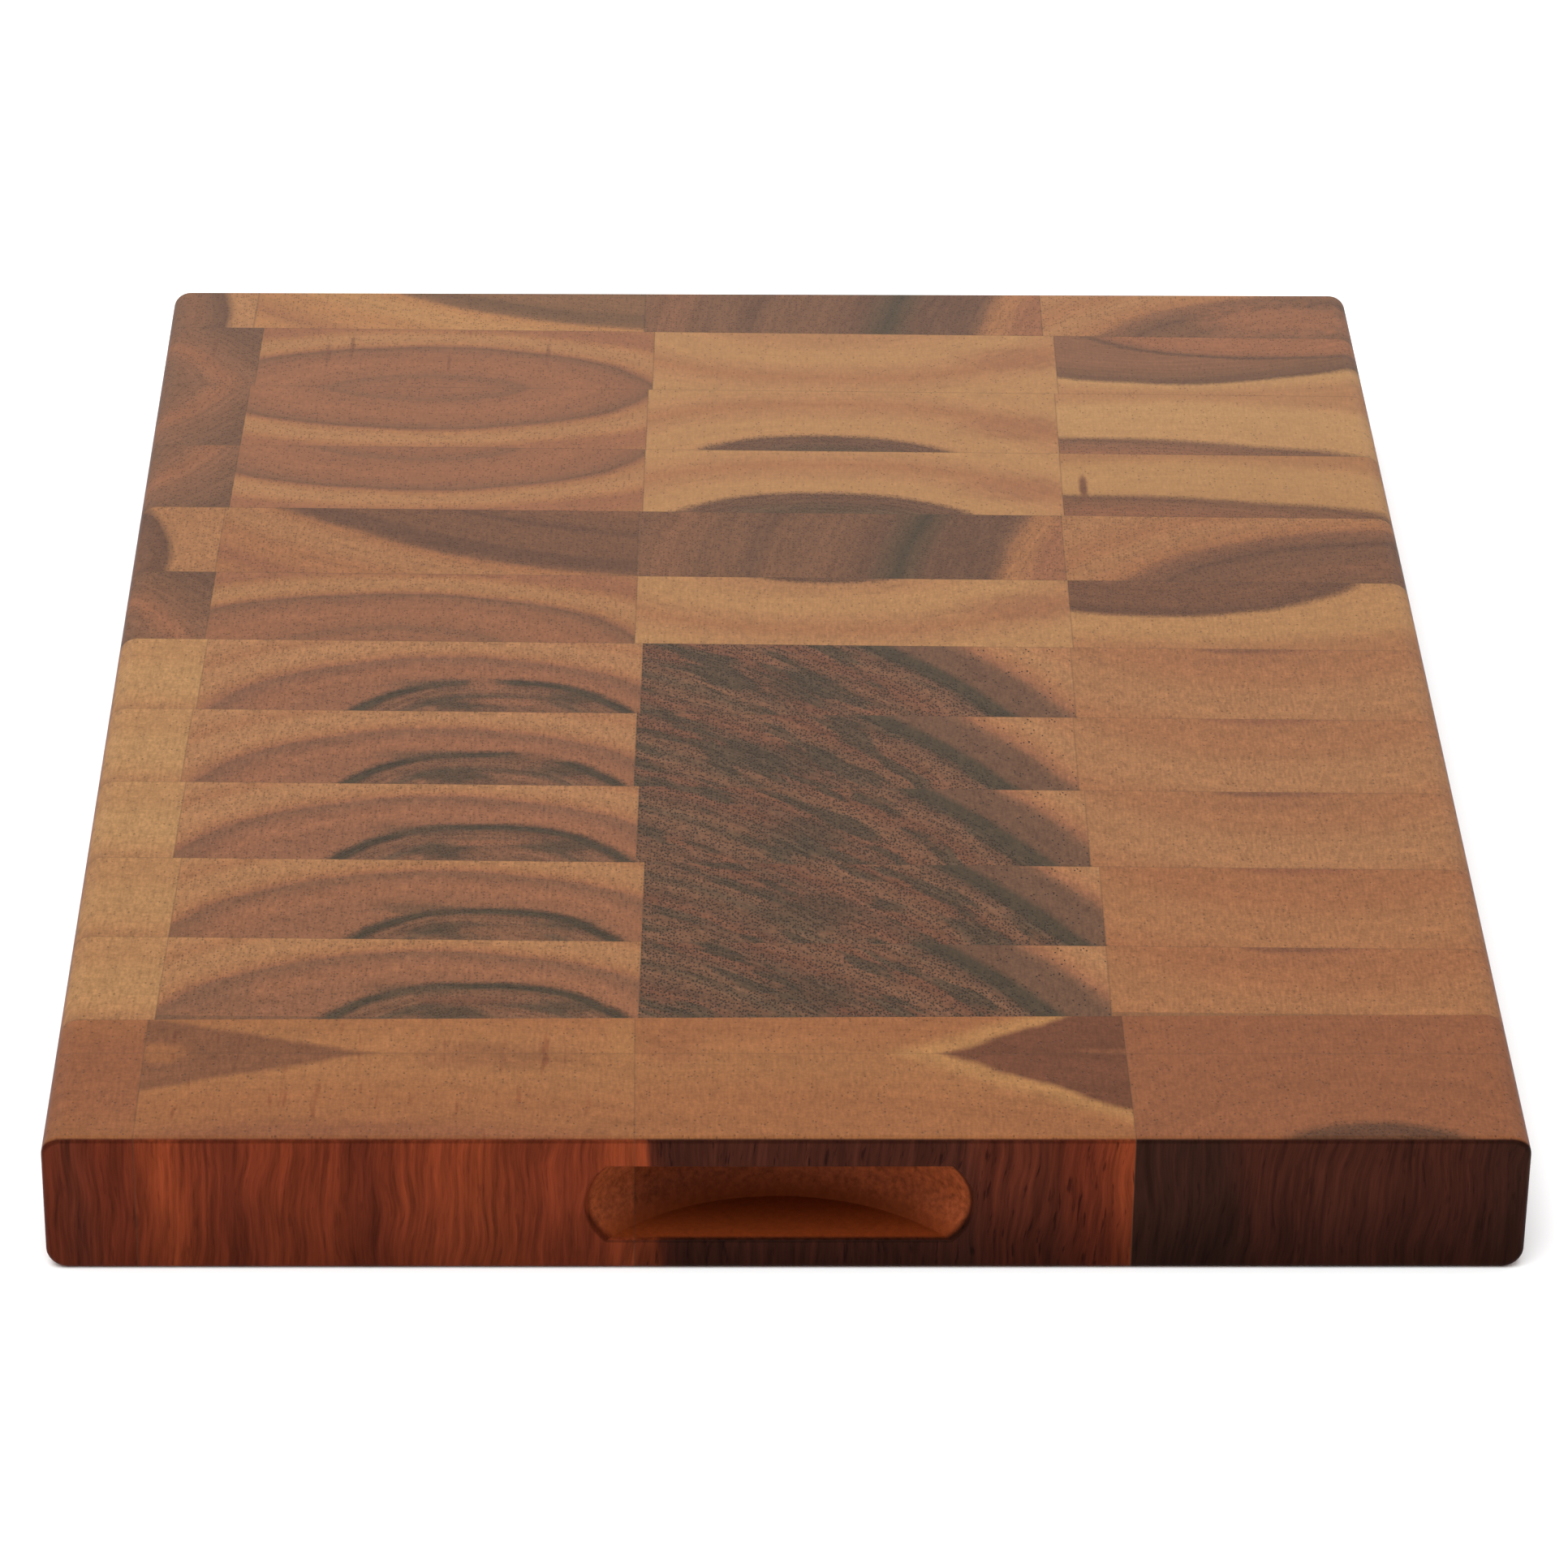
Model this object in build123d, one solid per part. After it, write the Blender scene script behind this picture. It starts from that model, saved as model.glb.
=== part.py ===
from build123d import *
from math import hypot
import os

# End-grain cutting board, in millimetres. The origin is on the underside, at the centre of the board.
# +X runs across the board, +Y runs towards its back end and +Z is up through its thickness.
# The board is laid up from thirteen crosswise strips. Each strip is four blocks with their end grain up.

# Whole board
board_width = 304.8
board_length = 406.4
board_thickness = 31.75

# Eased edges
side_edge_radius = 4.5      # round-over along the two long sides
end_edge_radius = 1.4       # lighter break all the way round each end

# Strips, counted from the back end
strip_pitch = 33.81         # width of a full strip
back_strip_depth = 21.8     # what is left of the back strip at the left side, after the board was trimmed square
strip_skew = 5.3            # how much nearer the front a skewed glue line is at its right-hand end
skewed_lines = 10
narrow_strip_depth = 13.1   # the strip behind the front one, at the left side
narrow_strip_spread = 2.5   # and how much deeper it is at the right side
front_strip_depth = 32.9

# Blocks in a strip: A is trimmed at the left side, B and C are whole, D is trimmed at the right side.
# The strips were sliced from three glued panels, whose boards B and C differ a little in width.
back_panel = (100.3, 102.4)
middle_panel = (101.5, 99.7)
front_panel = (102.1, 102.5)
panel_of_strip = [back_panel] * 6 + [middle_panel] * 5 + [front_panel] * 2

# Where the joint between B and C lies in each strip: the strips slipped sideways as they were clamped
middle_joint = -30.3
strip_slip = [0.4, 2.5, 0.9, 0.2, -1.2, -1.5, -0.1, -1.4, -0.8, 0.5, -0.1, -1.1, -1.1]

# Finger grips, one in each end, cut with a disc whose upright axis stays outside the board
grip_mouth_middle = 80.4    # width of the mouth at half its height
grip_mouth_lip = 71.4       # width of the mouth along its straight upper and lower lips
grip_floor_depth = 16.8
grip_height = 18.0
grip_offset = -1.6          # the grips sit slightly to the left of the centre line
grip_lip_radius = 0.5

overrun = 10.0              # how far the cutting shapes reach past the board

half_width = board_width / 2
half_length = board_length / 2
strip_count = len(strip_slip)


def eased_slab():
    """The board as one block: a bar with rounded long edges, and its two end faces broken all round."""
    section = Plane.XZ * RectangleRounded(board_width, board_thickness, side_edge_radius)
    bar = extrude(section, half_length, both=True)
    for end_face in [bar.faces().sort_by(Axis.Y)[0], bar.faces().sort_by(Axis.Y)[-1]]:
        end_centre = end_face.center().Y
        rim = bar.edges().filter_by_position(Axis.Y, end_centre - 0.01, end_centre + 0.01)
        bar = fillet(rim, end_edge_radius)
    return Location((0, 0, board_thickness / 2)) * bar


def grip_cutter():
    """A disc with a bulging rim, standing where it cuts the grip of the front end."""
    half_lip = grip_mouth_lip / 2
    half_height = grip_height / 2
    axis_out = (half_lip**2 - grip_floor_depth**2) / (2 * grip_floor_depth)
    lip_radius = axis_out + grip_floor_depth
    rim_radius = hypot(axis_out, grip_mouth_middle / 2)
    lower = (lip_radius, -half_height)
    upper = (lip_radius, half_height)
    outline = [
        Line((0, -half_height), lower),
        ThreePointArc(lower, (rim_radius, 0), upper),
        Line(upper, (0, half_height)),
        Line((0, half_height), (0, -half_height)),
    ]
    disc = revolve(Plane.XZ * make_face(outline), Axis.Z)
    return Location((grip_offset, -half_length - axis_out, board_thickness / 2)) * disc


def mouth_edges(board, end_y):
    """Edges where a grip meets the flat of its end."""
    return [
        edge
        for edge in board.edges().filter_by_position(Axis.Y, end_y - 0.01, end_y + 0.01)
        if edge.bounding_box().max.Z < board_thickness - 2 * end_edge_radius
        and edge.bounding_box().min.Z > 2 * end_edge_radius
    ]


def gripped_board():
    """The eased slab with a finger grip in each end, and the lips of the grips broken."""
    front_cut = grip_cutter()
    back_cut = mirror(front_cut, Plane.XZ)
    board = eased_slab() - front_cut - back_cut
    for end_y in [-half_length, half_length]:
        board = fillet(mouth_edges(board, end_y), grip_lip_radius)
    return board


def glue_line(number):
    """How far back a crosswise glue line lies at the board's left and right sides. Line 0 is the back end."""
    if number == 0:
        left = half_length + overrun
        return left, left
    if number <= skewed_lines:
        left = half_length - back_strip_depth - (number - 1) * strip_pitch
        return left, left - strip_skew
    if number == strip_count - 2:
        left = -half_length + front_strip_depth + narrow_strip_depth
        return left, left + narrow_strip_spread
    if number == strip_count - 1:
        left = -half_length + front_strip_depth
    else:
        left = -half_length - overrun
    return left, left


def point_on(line, x):
    """The point of a glue line at a place across the board."""
    left, right = line
    return x, left + (right - left) * (x + half_width) / board_width


def joint_ends(x, back_line, front_line, slope):
    """Ends of the joint between two blocks of a strip. The joint is square to the strip."""
    back_y = point_on(back_line, x)[1]
    front_y = point_on(front_line, x)[1]
    lean = slope * (back_y - front_y) / 2
    return point_on(back_line, x + lean), point_on(front_line, x - lean)


def strip_blocks(number):
    """Plan corners of the four blocks of a strip, keyed by the block's letter."""
    back_line = glue_line(number - 1)
    front_line = glue_line(number)
    is_skewed = number <= skewed_lines + 1
    slope = strip_skew / board_width if is_skewed else 0
    width_b, width_c = panel_of_strip[number - 1]
    joint_bc = middle_joint + strip_slip[number - 1]
    joints = [
        joint_ends(-half_width - overrun, back_line, front_line, 0),
        joint_ends(joint_bc - width_b, back_line, front_line, slope),
        joint_ends(joint_bc, back_line, front_line, slope),
        joint_ends(joint_bc + width_c, back_line, front_line, slope),
        joint_ends(half_width + overrun, back_line, front_line, 0),
    ]
    return {
        letter: [left[0], right[0], right[1], left[1]]
        for letter, left, right in zip("abcd", joints, joints[1:])
    }


def block(board, corners):
    """One block of the board."""
    prism = extrude(make_face(Polyline(*corners, close=True)), board_thickness + overrun)
    return (board & Location((0, 0, -overrun / 2)) * prism).solid()


os.makedirs("parts", exist_ok=True)
whole_board = gripped_board()
for strip in range(1, strip_count + 1):
    for block_letter, block_corners in strip_blocks(strip).items():
        export_step(block(whole_board, block_corners), f"parts/row_{strip:02d}_block_{block_letter}.step")
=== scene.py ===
import bpy
import math
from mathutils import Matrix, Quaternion, Vector


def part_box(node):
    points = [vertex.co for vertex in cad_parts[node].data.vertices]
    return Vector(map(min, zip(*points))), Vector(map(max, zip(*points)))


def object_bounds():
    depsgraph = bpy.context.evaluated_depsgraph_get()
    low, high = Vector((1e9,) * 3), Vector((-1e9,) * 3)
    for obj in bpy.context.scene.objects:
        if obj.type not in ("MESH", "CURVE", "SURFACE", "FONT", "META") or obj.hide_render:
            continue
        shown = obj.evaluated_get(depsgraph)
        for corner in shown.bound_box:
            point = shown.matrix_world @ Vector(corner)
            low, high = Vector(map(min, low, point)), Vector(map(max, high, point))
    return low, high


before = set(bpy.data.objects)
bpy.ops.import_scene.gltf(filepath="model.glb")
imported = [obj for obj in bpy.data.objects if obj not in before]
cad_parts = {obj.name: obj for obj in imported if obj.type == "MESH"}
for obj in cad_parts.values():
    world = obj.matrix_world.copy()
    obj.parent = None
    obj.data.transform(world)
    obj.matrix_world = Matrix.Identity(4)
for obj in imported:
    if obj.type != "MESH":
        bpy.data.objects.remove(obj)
cadLow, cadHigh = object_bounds()
print("loaded", len(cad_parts), "blocks")

mmPerMetre = 1000.0
inMillimetres = (mmPerMetre, mmPerMetre, mmPerMetre)
topOfBoard = cadHigh.z
# strips are counted from the back end
backRow = 1
lastSkewedRow = 11
narrowRow = 12
frontRow = 13

# Oiled end grain, as linear colours
endGrainColours = {
    "straw": (0.295, 0.155, 0.062),
    "honey": (0.277, 0.139, 0.056),
    "tan": (0.254, 0.119, 0.050),
    "amber": (0.236, 0.102, 0.043),
    "russet": (0.197, 0.080, 0.038),
    "cocoa": (0.172, 0.072, 0.036),
    "chocolate": (0.148, 0.066, 0.034),
    "sienna": (0.118, 0.048, 0.026),
    "umber": (0.124, 0.058, 0.031),
    "garnet": (0.080, 0.034, 0.020),
    "plum": (0.098, 0.048, 0.027),
    "olive": (0.080, 0.046, 0.026),
    "ink": (0.050, 0.034, 0.020),
    "pore": (0.022, 0.014, 0.009),
}

# The ends and sides show long grain, which takes the oil deeper and redder
longGrainColours = {
    "copper": (0.188, 0.035, 0.0115),
    "chestnut": (0.138, 0.0245, 0.0088),
    "mahogany": (0.107, 0.0190, 0.0078),
    "rosewood": (0.074, 0.0155, 0.0074),
    "wenge": (0.043, 0.0112, 0.0062),
    "ebony": (0.029, 0.0095, 0.0058),
    # gripDark and gripPale also carry the painted shade and painted light across block C's grip wall
    "gripPale": (0.240, 0.054, 0.018),
    "gripDark": (0.140, 0.030, 0.010),
    # the grip floor colour is darker and redder, partly its own oiled colour and partly painted shade of the
    # recess
    "gripFloor": (0.150, 0.028, 0.0065),
}


# small helpers for building node trees

def feed(tree, socket, value):
    if isinstance(value, bpy.types.NodeSocket):
        tree.links.new(value, socket)
    else:
        socket.default_value = value


def addNode(tree, kind, inputs=None, **settings):
    node = tree.nodes.new(kind)
    for name, value in settings.items():
        setattr(node, name, value)
    for socket, value in (inputs or {}).items():
        feed(tree, node.inputs[socket], value)
    return node


def calc(tree, operation, first, second=0.0, third=0.0):
    inputs = {0: first, 1: second, 2: third}
    return addNode(tree, "ShaderNodeMath", inputs, operation=operation).outputs[0]


def vectorCalc(tree, operation, first, second=(0.0, 0.0, 0.0)):
    return addNode(tree, "ShaderNodeVectorMath", {0: first, 1: second}, operation=operation).outputs[0]


def lengthOf(tree, vector):
    return addNode(tree, "ShaderNodeVectorMath", {0: vector}, operation="LENGTH").outputs["Value"]


def split(tree, vector):
    return addNode(tree, "ShaderNodeSeparateXYZ", {0: vector}).outputs


def join(tree, x, y, z):
    return addNode(tree, "ShaderNodeCombineXYZ", {0: x, 1: y, 2: z}).outputs[0]


def smoothStep(tree, value, low, high, toLow=0.0, toHigh=1.0):
    inputs = {"Value": value, "From Min": low, "From Max": high, "To Min": toLow, "To Max": toHigh}
    return addNode(tree, "ShaderNodeMapRange", inputs, interpolation_type="SMOOTHSTEP").outputs[0]


def noise(tree, vector, scale, detail=2.0, roughness=0.5):
    inputs = {"Vector": vector, "Scale": scale, "Detail": detail, "Roughness": roughness}
    return addNode(tree, "ShaderNodeTexNoise", inputs).outputs[0]


def mixColours(tree, share, first, second, blend="MIX"):
    # a colour mix takes its colours in sockets 6 and 7
    inputs = {0: share, 6: first, 7: second}
    return addNode(tree, "ShaderNodeMix", inputs, data_type="RGBA", blend_type=blend).outputs[2]


def mixValues(tree, share, first, second):
    # a value mix takes its values in sockets 2 and 3
    inputs = {0: share, 2: first, 3: second}
    return addNode(tree, "ShaderNodeMix", inputs, data_type="FLOAT").outputs[0]


def opaque(colour):
    return (*colour, 1.0)


def bandColours(tree, place, bands, colours):
    # bands are (place in mm, colour name), from the lowest place to the highest
    low, high = bands[0][0], bands[-1][0]
    share = addNode(tree, "ShaderNodeMapRange", {"Value": place, "From Min": low, "From Max": high})
    ramp = addNode(tree, "ShaderNodeValToRGB", {0: share.outputs[0]})
    stops = ramp.color_ramp.elements
    stops[0].position, stops[1].position = 0.0, 1.0
    for bandPlace, name in bands[1:-1]:
        stops.new((bandPlace - low) / (high - low))
    for stop, (bandPlace, name) in zip(stops, bands):
        stop.color = opaque(colours[name])
    return ramp.outputs[0]


def newGroup(name, inputs, outputs):
    group = bpy.data.node_groups.new(name, "ShaderNodeTree")
    for socketName, kind, value in inputs:
        socket = group.interface.new_socket(socketName, in_out="INPUT", socket_type="NodeSocket" + kind)
        if value is not None:
            socket.default_value = value
    for socketName, kind in outputs:
        group.interface.new_socket(socketName, in_out="OUTPUT", socket_type="NodeSocket" + kind)
    start = group.nodes.new("NodeGroupInput")
    end = group.nodes.new("NodeGroupOutput")
    return group, start.outputs, end.inputs


def useGroup(tree, group, inputs):
    node = tree.nodes.new("ShaderNodeGroup")
    node.node_tree = group
    for socket, value in inputs.items():
        feed(tree, node.inputs[socket], value)
    return node.outputs


# effects shared by all the blocks

def makeStripPointGroup():
    # a place in a strip's own millimetres: across from its middle joint, along its depth, and down its slices
    group, given, result = newGroup(
        "stripPoint",
        [("Position", "Vector", None), ("Origin", "Vector", None), ("Turn", "Float", 0.0),
         ("Flip", "Float", 1.0), ("Slice", "Float", 0.0)],
        [("Point", "Vector")],
    )
    offset = vectorCalc(group, "SUBTRACT", given["Position"], given["Origin"])
    inputs = {"Vector": vectorCalc(group, "MULTIPLY", offset, inMillimetres), "Angle": given["Turn"]}
    turned = addNode(group, "ShaderNodeVectorRotate", inputs, rotation_type="Z_AXIS").outputs[0]
    across, along, down = split(group, turned)
    slowDown = calc(group, "MULTIPLY_ADD", down, 0.05, given["Slice"])  # the figure changes slowly downwards
    flipped = calc(group, "MULTIPLY", along, given["Flip"])
    feed(group, result["Point"], join(group, across, flipped, slowDown))
    return group


# bends of the rings in mm, with scales per mm, and how the streaks and clouds run across and along them
ringPattern = {
    "slowBend": 1.6,
    "slowBendScale": 0.035,
    "quickBend": 0.4,
    "quickBendScale": 0.16,
    "streakAcross": 1.1,
    "streakAlong": 0.05,
    "cloudAcross": 0.16,
    "cloudAlong": 0.035,
    "roughness": 0.6,
}


def makeRingsGroup():
    # growth rings: an oval distance in mm from the tree's heart, and streaks and clouds that follow it
    group, given, result = newGroup(
        "growthRings",
        [("Point", "Vector", None), ("Centre", "Vector", None), ("Squash", "Float", 1.0),
         ("Growth", "Float", 0.0), ("Wander", "Float", 1.0)],
        [("Ring", "Float"), ("Streak", "Float"), ("Cloud", "Float")],
    )
    slow = calc(group, "MULTIPLY", noise(group, given["Point"], ringPattern["slowBendScale"], 1.0),
                ringPattern["slowBend"])
    quick = calc(group, "MULTIPLY", noise(group, given["Point"], ringPattern["quickBendScale"], 2.0),
                 ringPattern["quickBend"])
    middleBend = (ringPattern["slowBend"] + ringPattern["quickBend"]) / 2
    bend = calc(group, "SUBTRACT", calc(group, "ADD", slow, quick), middleBend)
    wander = calc(group, "MULTIPLY", bend, given["Wander"])
    across, along = split(group, vectorCalc(group, "SUBTRACT", given["Point"], given["Centre"]))[:2]
    distance = lengthOf(group, join(group, calc(group, "MULTIPLY", across, given["Squash"]), along, 0.0))
    ring = calc(group, "SUBTRACT", calc(group, "ADD", distance, wander), given["Growth"])
    feed(group, result["Ring"], ring)
    across, along, sliceShift = split(group, given["Point"])

    def alongRings(ringScale, runScale, detail):
        place = join(
            group,
            calc(group, "MULTIPLY", ring, ringScale),
            calc(group, "MULTIPLY", across, runScale),
            calc(group, "MULTIPLY_ADD", along, runScale, sliceShift),
        )
        return noise(group, place, 1.0, detail, ringPattern["roughness"])

    feed(group, result["Streak"], alongRings(ringPattern["streakAcross"], ringPattern["streakAlong"], 3.0))
    feed(group, result["Cloud"], alongRings(ringPattern["cloudAcross"], ringPattern["cloudAlong"], 2.0))
    return group


# scales per mm, and the shares that the specks, rays and mottling have in the tone
endGrainPattern = {
    "poreStretch": 0.62,
    "poreHole": (0.14, 0.50),
    "driftScale": 0.22,
    "driftGain": 2.4,
    "driftStart": -0.2,
    "speckScale": 1.25,
    "speckShare": 0.42,
    "speckHeight": 0.5,
    "rayAcross": 1.5,
    "rayAlong": 0.28,
    "rayShare": 0.34,
    "mottleScale": 0.28,
    "mottleShare": 0.24,
}


def makeEndGrainGroup():
    # cut ends of the vessels, the specks between them, and the fine rays that cross the rings
    group, given, result = newGroup(
        "endGrain",
        [("Point", "Vector", None), ("Pore Size", "Float", 0.5), ("Pore Share", "Float", 0.3)],
        [("Pores", "Float"), ("Tone", "Float"), ("Height", "Float")],
    )
    across, along = split(group, given["Point"])[:2]
    flat = join(group, across, along, 0.0)
    # vessels stand a little further apart along the strip's depth, and gather in drifts
    stretched = calc(group, "MULTIPLY", along, endGrainPattern["poreStretch"])
    cellScale = calc(group, "DIVIDE", 1.0, given["Pore Size"])
    inputs = {"Vector": join(group, across, stretched, 0.0), "Scale": cellScale}
    cells = addNode(group, "ShaderNodeTexVoronoi", inputs, voronoi_dimensions="2D").outputs
    drift = noise(group, flat, endGrainPattern["driftScale"], 2.0)
    drift = calc(group, "MULTIPLY_ADD", drift, endGrainPattern["driftGain"], endGrainPattern["driftStart"])
    share = calc(group, "MULTIPLY", given["Pore Share"], drift)
    isOpen = calc(group, "LESS_THAN", split(group, cells["Color"])[0], share)
    hole = smoothStep(group, cells["Distance"], *endGrainPattern["poreHole"], 1.0, 0.0)
    pores = calc(group, "MULTIPLY", hole, isOpen)
    speck = noise(group, flat, endGrainPattern["speckScale"], 2.0, 0.75)
    rayPlace = join(group, calc(group, "MULTIPLY", across, endGrainPattern["rayAcross"]),
                    calc(group, "MULTIPLY", along, endGrainPattern["rayAlong"]), 0.0)
    rays = calc(group, "MULTIPLY", noise(group, rayPlace, 1.0, 1.0, 0.6), endGrainPattern["rayShare"])
    mottle = noise(group, flat, endGrainPattern["mottleScale"], 2.0, 0.6)
    tone = calc(group, "MULTIPLY_ADD", speck, endGrainPattern["speckShare"], rays)
    tone = calc(group, "MULTIPLY_ADD", mottle, endGrainPattern["mottleShare"], tone)
    height = calc(group, "SUBTRACT", calc(group, "MULTIPLY", speck, endGrainPattern["speckHeight"]), pores)
    feed(group, result["Pores"], pores)
    feed(group, result["Tone"], tone)
    feed(group, result["Height"], height)
    return group


# scales per mm sideways, and how fast each effect changes up the board
longGrainPattern = {
    "sway": 5.0,
    "swayScale": 0.05,
    "lineScale": 0.85,
    "lineRise": 0.05,
    "dashScale": 1.0,
    "dashRise": 0.13,
    "dashEdge": (0.58, 0.70),
    "bandScale": 0.13,
    "bandRise": 0.012,
    "roughness": 0.65,
}


def makeLongGrainGroup():
    # vessels seen along their length: fine upright lines, short dark dashes and broader bands
    group, given, result = newGroup(
        "longGrain",
        [("Position", "Vector", None), ("Lean", "Float", 0.06)],
        [("Lines", "Float"), ("Dashes", "Float"), ("Bands", "Float"), ("Height", "Float")],
    )
    place = vectorCalc(group, "MULTIPLY", given["Position"], inMillimetres)
    x, y, z = split(group, place)
    swayScale = longGrainPattern["swayScale"]
    swayPlace = vectorCalc(group, "MULTIPLY", place, (swayScale, swayScale, swayScale))
    sway = calc(group, "SUBTRACT", noise(group, swayPlace, 1.0, 1.0), 0.5)
    sway = calc(group, "MULTIPLY", sway, longGrainPattern["sway"])
    leaning = calc(group, "ADD", calc(group, "MULTIPLY_ADD", z, given["Lean"], x), sway)

    def upright(name, detail):
        scale = longGrainPattern[name + "Scale"]
        lines = join(
            group,
            calc(group, "MULTIPLY", leaning, scale),
            calc(group, "MULTIPLY", y, scale),
            calc(group, "MULTIPLY", z, longGrainPattern[name + "Rise"]),
        )
        return noise(group, lines, 1.0, detail, longGrainPattern["roughness"])

    fine = upright("line", 3.0)
    feed(group, result["Lines"], fine)
    feed(group, result["Dashes"], smoothStep(group, upright("dash", 2.0), *longGrainPattern["dashEdge"]))
    feed(group, result["Bands"], upright("band", 2.0))
    feed(group, result["Height"], fine)
    return group


def makeGlueGroup():
    # the glue line round a block, as a thin mask along its joints
    group, given, result = newGroup(
        "glueLine",
        [("Point", "Vector", None), ("Middle", "Vector", None), ("Half", "Vector", None),
         ("Width", "Float", 0.2)],
        [("Line", "Float")],
    )
    away = vectorCalc(group, "ABSOLUTE", vectorCalc(group, "SUBTRACT", given["Point"], given["Middle"]))
    inside = split(group, vectorCalc(group, "SUBTRACT", given["Half"], away))
    nearest = calc(group, "MINIMUM", inside[0], inside[1])
    feed(group, result["Line"], smoothStep(group, nearest, 0.0, given["Width"], 1.0, 0.0))
    return group


wedgePattern = {"wander": 9.0, "wanderScale": 0.09}


def makeWedgeGroup():
    # a V of heartwood with its tip at a joint, opening along the strip
    group, given, result = newGroup(
        "heartWedge",
        [("Point", "Vector", None), ("Tip", "Float", 0.0), ("Run", "Float", 1.0), ("Facing", "Float", 1.0),
         ("Soft", "Float", 2.0)],
        [("Mask", "Float")],
    )
    across, along = split(group, given["Point"])[:2]
    wander = calc(group, "SUBTRACT", noise(group, given["Point"], wedgePattern["wanderScale"], 3.0), 0.5)
    wander = calc(group, "MULTIPLY", wander, wedgePattern["wander"])
    depth = calc(group, "MULTIPLY", calc(group, "SUBTRACT", across, given["Tip"]), given["Facing"])
    side = calc(group, "MULTIPLY", calc(group, "ABSOLUTE", along), given["Run"])
    inside = calc(group, "ADD", calc(group, "SUBTRACT", depth, side), wander)
    outer = calc(group, "MULTIPLY", given["Soft"], -1.0)
    feed(group, result["Mask"], smoothStep(group, inside, outer, given["Soft"]))
    return group


markPattern = {"acrossScale": 0.45, "alongScale": 0.06, "edge": 0.78, "shareGain": 0.2, "soft": 0.14}


def makeMarksGroup():
    # short thin dashes of darker wood running along the strip's depth, where rays were cut lengthwise
    group, given, result = newGroup(
        "rayMarks",
        [("Point", "Vector", None), ("Share", "Float", 0.3)],
        [("Mask", "Float")],
    )
    across, along, sliceShift = split(group, given["Point"])
    acrossPlace = calc(group, "MULTIPLY", across, markPattern["acrossScale"])
    alongPlace = calc(group, "MULTIPLY_ADD", along, markPattern["alongScale"], sliceShift)
    thin = noise(group, join(group, acrossPlace, alongPlace, 0.0), 1.0, 2.0)
    gain = calc(group, "MULTIPLY", given["Share"], markPattern["shareGain"])
    edge = calc(group, "SUBTRACT", markPattern["edge"], gain)
    feed(group, result["Mask"], smoothStep(group, thin, edge, calc(group, "ADD", edge, markPattern["soft"])))
    return group


stainPattern = {"ragged": 0.9, "raggedScale": 0.35, "edge": (0.75, 1.45)}


def makeStainGroup():
    # a soft-edged oval stain
    group, given, result = newGroup(
        "stain",
        [("Point", "Vector", None), ("Middle", "Vector", None), ("Reach", "Vector", (1.0, 1.0, 1.0))],
        [("Mask", "Float")],
    )
    offset = vectorCalc(group, "SUBTRACT", given["Point"], given["Middle"])
    across, along = split(group, vectorCalc(group, "DIVIDE", offset, given["Reach"]))[:2]
    distance = lengthOf(group, join(group, across, along, 0.0))
    ragged = noise(group, given["Point"], stainPattern["raggedScale"], 3.0)
    ragged = calc(group, "ADD", distance, calc(group, "MULTIPLY", ragged, stainPattern["ragged"]))
    feed(group, result["Mask"], smoothStep(group, ragged, *stainPattern["edge"], 1.0, 0.0))
    return group


stripPoint = makeStripPointGroup()
growthRings = makeRingsGroup()
endGrain = makeEndGrainGroup()
longGrain = makeLongGrainGroup()
glueLine = makeGlueGroup()
heartWedge = makeWedgeGroup()
rayMarks = makeMarksGroup()
stain = makeStainGroup()
print("built the shared wood effects")


# The figure of each board that the strips were sliced from, block by block, in mm from the strip's middle
# joint and centre line. Bands give the colour at each distance from the rings' centre, and squash narrows the
# rings' oval. Streak, cloud, pores, marks, patches, poreDepth and speckle are strengths.
backPanel = {
    "a": {
        "centre": (-160, -10), "squash": 1.0, "streak": 0.4, "cloud": 0.4, "pores": 0.3,
        "bands": [(34, "umber"), (39, "chocolate"), (43, "umber"), (47.4, "plum"), (49.6, "tan"),
                  (60, "tan")],
    },
    "b": {
        "centre": (20, 160), "squash": 1.0, "streak": 0.4, "cloud": 0.3, "pores": 0.25,
        "bands": [(145, "chocolate"), (150, "umber"), (154, "umber"), (157, "plum"), (159, "umber"),
                  (166, "umber"), (169, "umber"), (171, "plum"), (175, "plum"), (177.4, "umber"),
                  (179.6, "amber"), (184, "tan"), (189, "tan"), (194, "amber"), (199, "amber"),
                  (205, "russet"), (211, "amber")],
    },
    "c": {
        "centre": (300, -60), "squash": 1.0, "streak": 0.7, "cloud": 0.4, "pores": 0.35,
        "bands": [(205, "russet"), (210, "russet"), (214, "amber"), (217, "amber"), (220, "umber"),
                  (222, "plum"), (230, "plum"), (235, "plum"), (239, "olive"), (242, "ink"),
                  (246, "olive"), (250, "plum"), (258, "umber"), (266, "umber"), (274, "umber"),
                  (277, "plum"), (282, "umber"), (290, "umber"), (298, "chocolate"), (306, "umber")],
    },
    "d": {
        "centre": (182, -50), "squash": 0.77, "streak": 0.4, "cloud": 0.3, "pores": 0.3,
        "bands": [(36, "umber"), (42, "chocolate"), (46, "umber"), (51.5, "umber"), (54, "plum"),
                  (55.6, "umber"), (59.6, "chocolate"), (62.6, "amber"), (69, "tan"), (74, "amber"),
                  (82, "tan"), (90, "tan")],
    },
}

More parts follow.
